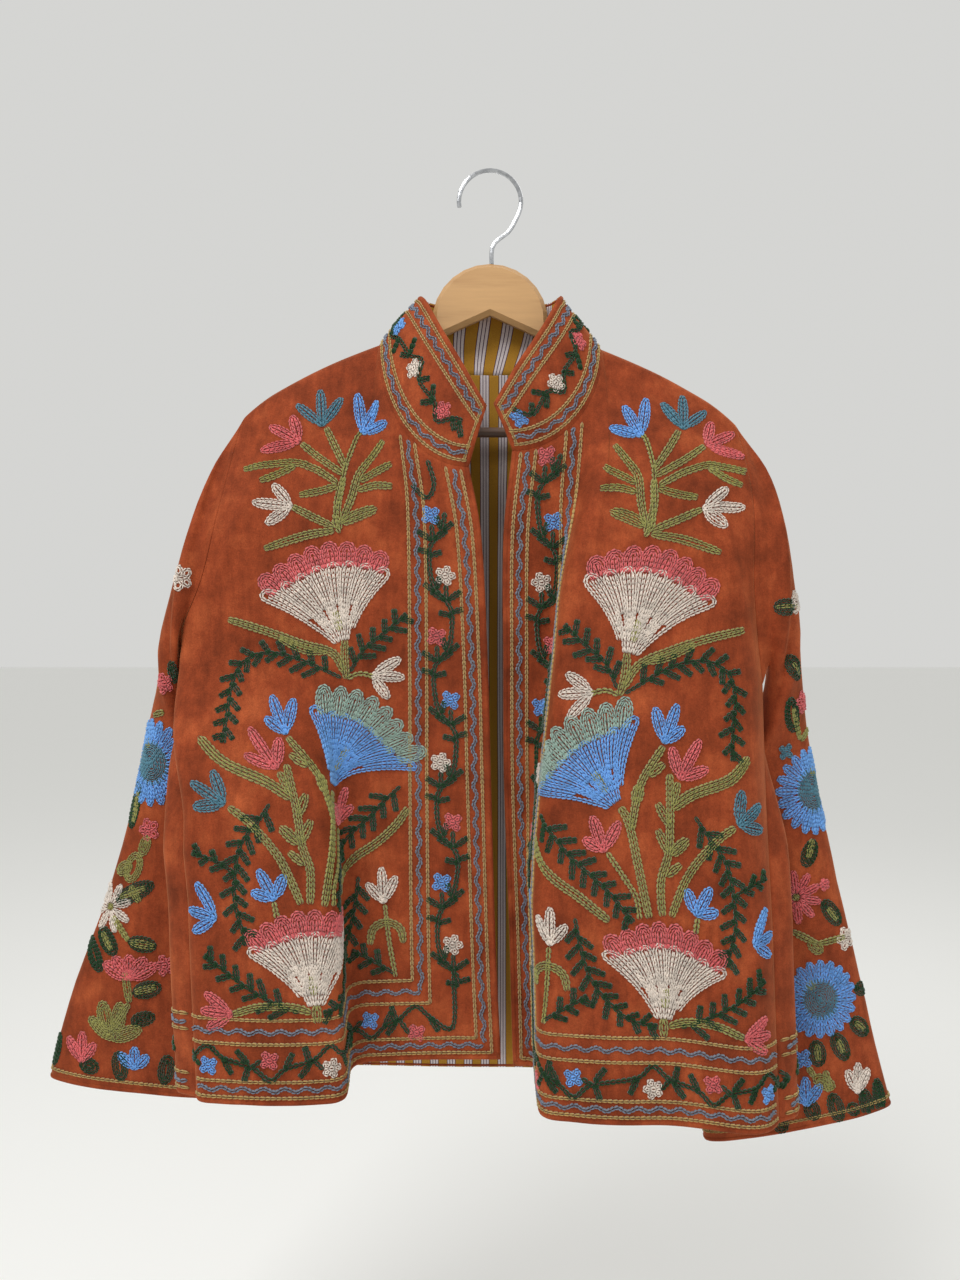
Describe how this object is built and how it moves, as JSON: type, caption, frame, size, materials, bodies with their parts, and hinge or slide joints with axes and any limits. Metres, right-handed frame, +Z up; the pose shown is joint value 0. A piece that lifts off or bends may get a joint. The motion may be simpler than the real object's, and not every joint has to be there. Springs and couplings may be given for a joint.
{
  "type": "embroidered velvet jacket on a hanger",
  "caption": "Open-fronted velvet jacket with a stand collar, wide sleeves and wool chain-stitch flowers, on a wooden hanger.",
  "frame": {"origin": "inside top of the hanger hook, where the rail or peg carries it", "axes": "+Z up, +X to the right of somebody who faces the jacket, -Y towards them"},
  "size_m": [0.767, 0.1314, 0.88],
  "materials": {
    "velvet": "rust cotton velvet with a soft nap, chain-stitched in wool",
    "stripe": "striped cotton, mustard with white and dark purple lines",
    "wood": "pale beech, satin lacquer",
    "bar": "dark stained trouser bar",
    "chrome": "bright plated wire"
  },
  "bodies": {
    "root": {"front_left": "velvet", "front_right": "velvet", "back": "velvet", "lining_back": "stripe", "sleeve_left": "velvet", "sleeve_right": "velvet", "collar": "velvet", "lining_collar": "stripe", "hanger_wood": "wood", "hanger_bar": "bar", "hanger_hook": "chrome"}
  },
  "joints": []
}
